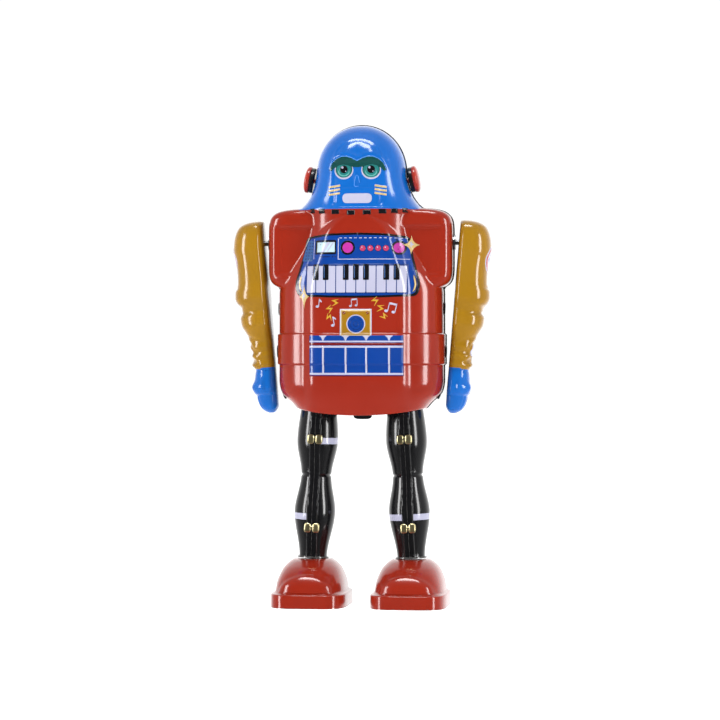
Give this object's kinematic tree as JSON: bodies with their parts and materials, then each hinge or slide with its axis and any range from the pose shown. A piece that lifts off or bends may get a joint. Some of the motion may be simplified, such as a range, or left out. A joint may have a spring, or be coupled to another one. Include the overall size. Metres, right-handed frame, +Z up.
{
  "type": "tin wind-up robot",
  "caption": "Lithographed tin wind-up walking robot with swinging arms and legs, a keyboard-panel chest and a clockwork movement wound by a key in its back.",
  "frame": {"origin": "bottom centre of the bounding box: on the floor, midway between the toes and the tip of the key", "axes": "+Z up, +X towards the robot's left, the robot faces -Y"},
  "size_m": [0.125, 0.066, 0.2299],
  "materials": {
    "red_tin": "glossy red lithographed tin",
    "blue_tin": "glossy blue lithographed tin",
    "black_tin": "glossy black lithographed tin",
    "yellow_tin": "glossy mustard yellow tin",
    "red_cap": "glossy red",
    "black_ring": "glossy black",
    "plated_steel": "zinc plated sheet",
    "shaft_steel": "drawn steel rod",
    "spring_steel": "blued spring steel",
    "brass": "satin brass"
  },
  "bodies": {
    "body": {"front_shell": "red_tin", "back_shell": "black_tin", "right_ear_ring": "black_ring", "left_ear_ring": "black_ring", "right_ear_cap": "red_cap", "left_ear_cap": "red_cap", "ear_nuts": "plated_steel", "shoulder_bracket": "plated_steel", "shoulder_bushes": "plated_steel", "hip_bracket": "plated_steel", "hip_axle": "shaft_steel", "hip_caps": "plated_steel", "front_plate": "plated_steel", "back_plate": "plated_steel", "plate_pillars": "brass", "mounting_posts": "plated_steel", "mounting_screws": "plated_steel", "mainspring": "spring_steel"},
    "right_leg": {"right_leg_outer": "black_tin", "right_leg_inner": "black_tin", "right_leg_bracket": "plated_steel", "right_leg_clips": "brass", "right_foot_shell": "red_tin", "right_sole": "plated_steel", "right_ankle_rivet": "plated_steel"},
    "right_arm": {"right_arm_outer": "yellow_tin", "right_arm_inner": "yellow_tin", "right_arm_shaft": "shaft_steel", "right_arm_boss": "plated_steel", "right_arm_lever": "plated_steel"},
    "right_drive_rod": {"right_drive_link": "plated_steel"},
    "right_arm_rod": {"right_arm_link": "plated_steel"},
    "left_leg": {"left_leg_outer": "black_tin", "left_leg_inner": "black_tin", "left_leg_bracket": "plated_steel", "left_leg_clips": "brass", "left_foot_shell": "red_tin", "left_sole": "plated_steel", "left_ankle_rivet": "plated_steel"},
    "left_arm": {"left_arm_outer": "yellow_tin", "left_arm_inner": "yellow_tin", "left_arm_shaft": "shaft_steel", "left_arm_boss": "plated_steel", "left_arm_lever": "plated_steel"},
    "left_drive_rod": {"left_drive_link": "plated_steel"},
    "left_arm_rod": {"left_arm_link": "plated_steel"},
    "key_shaft": {"winding_key": "plated_steel", "winding_arbor": "shaft_steel", "ratchet_wheel": "brass"},
    "great_wheel": {"great_wheel": "brass", "click": "plated_steel", "click_spring": "plated_steel"},
    "second_shaft": {"second_arbor": "shaft_steel", "second_wheel": "brass"},
    "crank_shaft": {"crank_arbor": "shaft_steel", "third_wheel": "brass", "crank_disc": "plated_steel"},
    "governor": {"governor_arbor": "shaft_steel", "governor_rotor": "brass"}
  },
  "joints": [
    {"name": "right_leg_swing", "type": "hinge", "parent": "body", "child": "right_leg", "pos_m": [0, -0.004, 0.104], "axis": [1, 0, 0], "range_deg": [-10, 10]},
    {"name": "left_leg_swing", "type": "hinge", "parent": "body", "child": "left_leg", "pos_m": [0, -0.004, 0.104], "axis": [1, 0, 0], "range_deg": [-10, 10]},
    {"name": "right_arm_swing", "type": "hinge", "parent": "body", "child": "right_arm", "pos_m": [0, -0.004, 0.1737], "axis": [1, 0, 0], "range_deg": [-20, 20]},
    {"name": "left_arm_swing", "type": "hinge", "parent": "body", "child": "left_arm", "pos_m": [0, -0.004, 0.1737], "axis": [1, 0, 0], "range_deg": [-20, 20]},
    {"name": "right_drive_pivot", "type": "hinge", "parent": "right_leg", "child": "right_drive_rod", "pos_m": [0, -0.018, 0.104], "axis": [1, 0, 0], "range_deg": [-10, 10]},
    {"name": "right_arm_rod_pivot", "type": "hinge", "parent": "right_leg", "child": "right_arm_rod", "pos_m": [0, -0.018, 0.104], "axis": [1, 0, 0], "range_deg": [-10, 10]},
    {"name": "left_drive_pivot", "type": "hinge", "parent": "left_leg", "child": "left_drive_rod", "pos_m": [0, -0.018, 0.104], "axis": [1, 0, 0], "range_deg": [-10, 10]},
    {"name": "left_arm_rod_pivot", "type": "hinge", "parent": "left_leg", "child": "left_arm_rod", "pos_m": [0, -0.018, 0.104], "axis": [1, 0, 0], "range_deg": [-10, 10]},
    {"name": "key_turn", "type": "hinge", "parent": "body", "child": "key_shaft", "pos_m": [0, -0.004, 0.144], "axis": [0, 1, 0], "continuous": true},
    {"name": "great_wheel_turn", "type": "hinge", "parent": "body", "child": "great_wheel", "pos_m": [0, -0.004, 0.144], "axis": [0, 1, 0], "continuous": true},
    {"name": "second_shaft_turn", "type": "hinge", "parent": "body", "child": "second_shaft", "pos_m": [0.00725, -0.004, 0.12818], "axis": [0, 1, 0], "continuous": true},
    {"name": "crank_turn", "type": "hinge", "parent": "body", "child": "crank_shaft", "pos_m": [0, -0.004, 0.118], "axis": [0, 1, 0], "continuous": true},
    {"name": "governor_turn", "type": "hinge", "parent": "body", "child": "governor", "pos_m": [-0.01094, -0.004, 0.12155], "axis": [0, 1, 0], "continuous": true}
  ],
  "couplings": [
    {"joint": "left_leg_swing", "follows": "right_leg_swing", "ratio": -1},
    {"joint": "right_arm_swing", "follows": "right_leg_swing", "ratio": -2},
    {"joint": "left_arm_swing", "follows": "right_leg_swing", "ratio": 2},
    {"joint": "right_drive_pivot", "follows": "right_leg_swing", "ratio": -1},
    {"joint": "right_arm_rod_pivot", "follows": "right_leg_swing", "ratio": -1},
    {"joint": "left_drive_pivot", "follows": "right_leg_swing", "ratio": 1},
    {"joint": "left_arm_rod_pivot", "follows": "right_leg_swing", "ratio": 1},
    {"joint": "key_turn", "follows": "crank_turn", "ratio": 0.052083},
    {"joint": "great_wheel_turn", "follows": "crank_turn", "ratio": 0.052083},
    {"joint": "second_shaft_turn", "follows": "crank_turn", "ratio": -0.25},
    {"joint": "governor_turn", "follows": "crank_turn", "ratio": -3.6}
  ]
}
